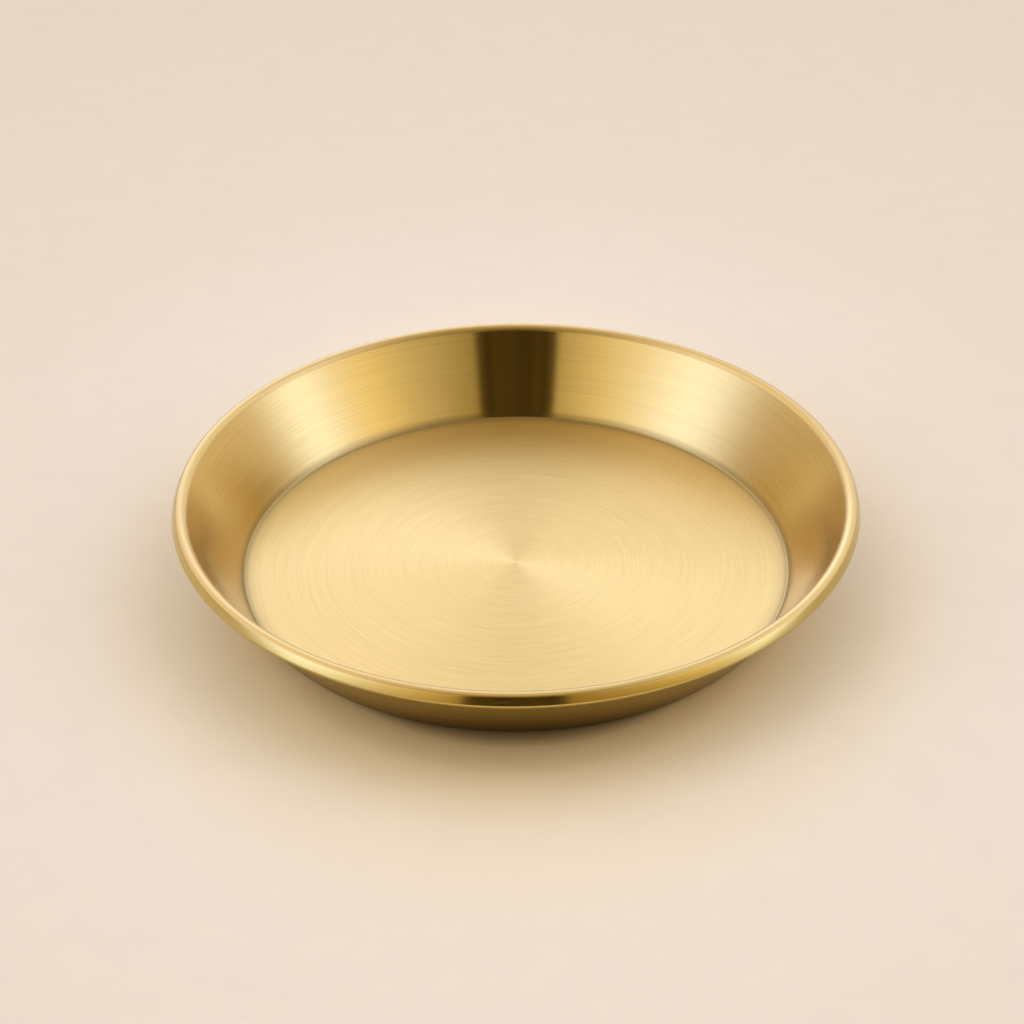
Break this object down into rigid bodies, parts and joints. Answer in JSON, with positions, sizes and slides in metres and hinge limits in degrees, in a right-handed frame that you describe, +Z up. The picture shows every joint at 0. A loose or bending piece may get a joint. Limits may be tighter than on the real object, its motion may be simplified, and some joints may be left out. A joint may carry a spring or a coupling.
{
  "type": "dinner plate",
  "caption": "Round gold-toned metal dinner plate with a flat brushed floor, a straight flared wall and an edge curled over a stiffening wire, with a flat outer lip.",
  "frame": {"origin": "middle of the flat underside, on the surface the plate stands on", "axes": "+Z up along the plate's axis of revolution, +X and +Y across the plate, the wire's butted ends on +X"},
  "size_m": [0.24, 0.24, 0.0315],
  "materials": {
    "gold_toned_steel": "gold-toned steel, brushed in circles on the floor and around the wall, smooth and bright on the curled edge and its lip",
    "plain_steel": "drawn steel wire, dull"
  },
  "bodies": {
    "root": {"plate_body": "gold_toned_steel", "rim_wire": "plain_steel"}
  },
  "joints": []
}
